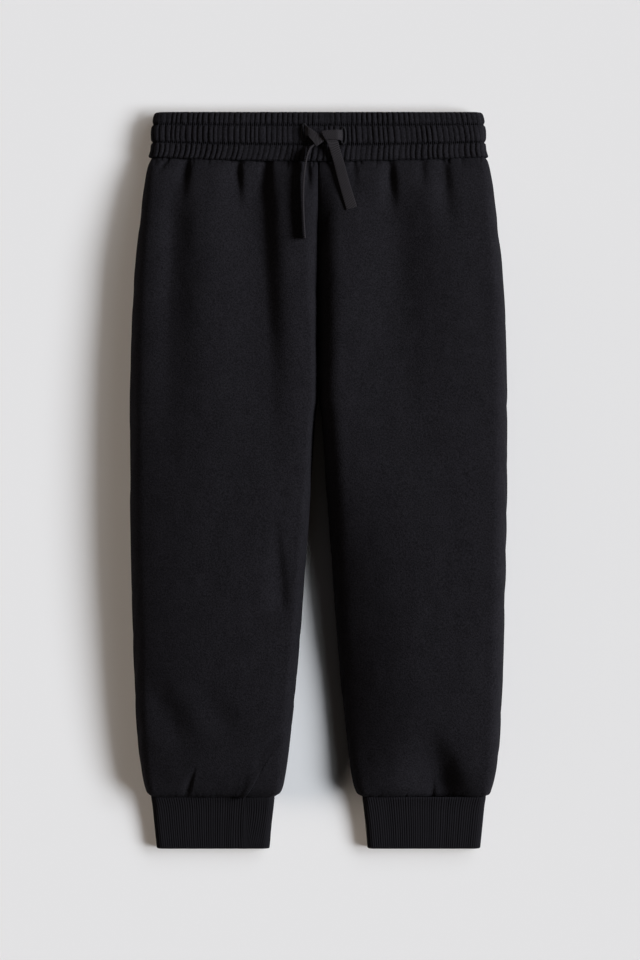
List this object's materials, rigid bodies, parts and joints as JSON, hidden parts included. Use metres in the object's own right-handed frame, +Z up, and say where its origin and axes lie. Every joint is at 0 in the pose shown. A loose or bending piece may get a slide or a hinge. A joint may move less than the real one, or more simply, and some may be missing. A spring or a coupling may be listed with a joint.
{
  "type": "jogger sweatpants",
  "caption": "Child's fleece jogger sweatpants lying flat, with a gathered elastic waistband, a flat drawstring and ribbed ankle cuffs.",
  "frame": {"origin": "middle of the garment's outline, on the surface it lies on", "axes": "+X to the wearer's left, +Y from the cuffs to the waist, +Z up, out of the front of the garment"},
  "size_m": [0.2764, 0.54, 0.0398],
  "materials": {
    "fleece": "matt brushed cotton fleece",
    "rib": "matt rib knit",
    "tape": "twill tape with a slight sheen"
  },
  "bodies": {
    "root": {"front_left": "fleece", "front_right": "fleece", "back_left": "fleece", "back_right": "fleece", "waistband": "fleece", "cuff_left": "rib", "cuff_right": "rib", "drawstring_left": "tape", "drawstring_right": "tape"}
  },
  "joints": []
}
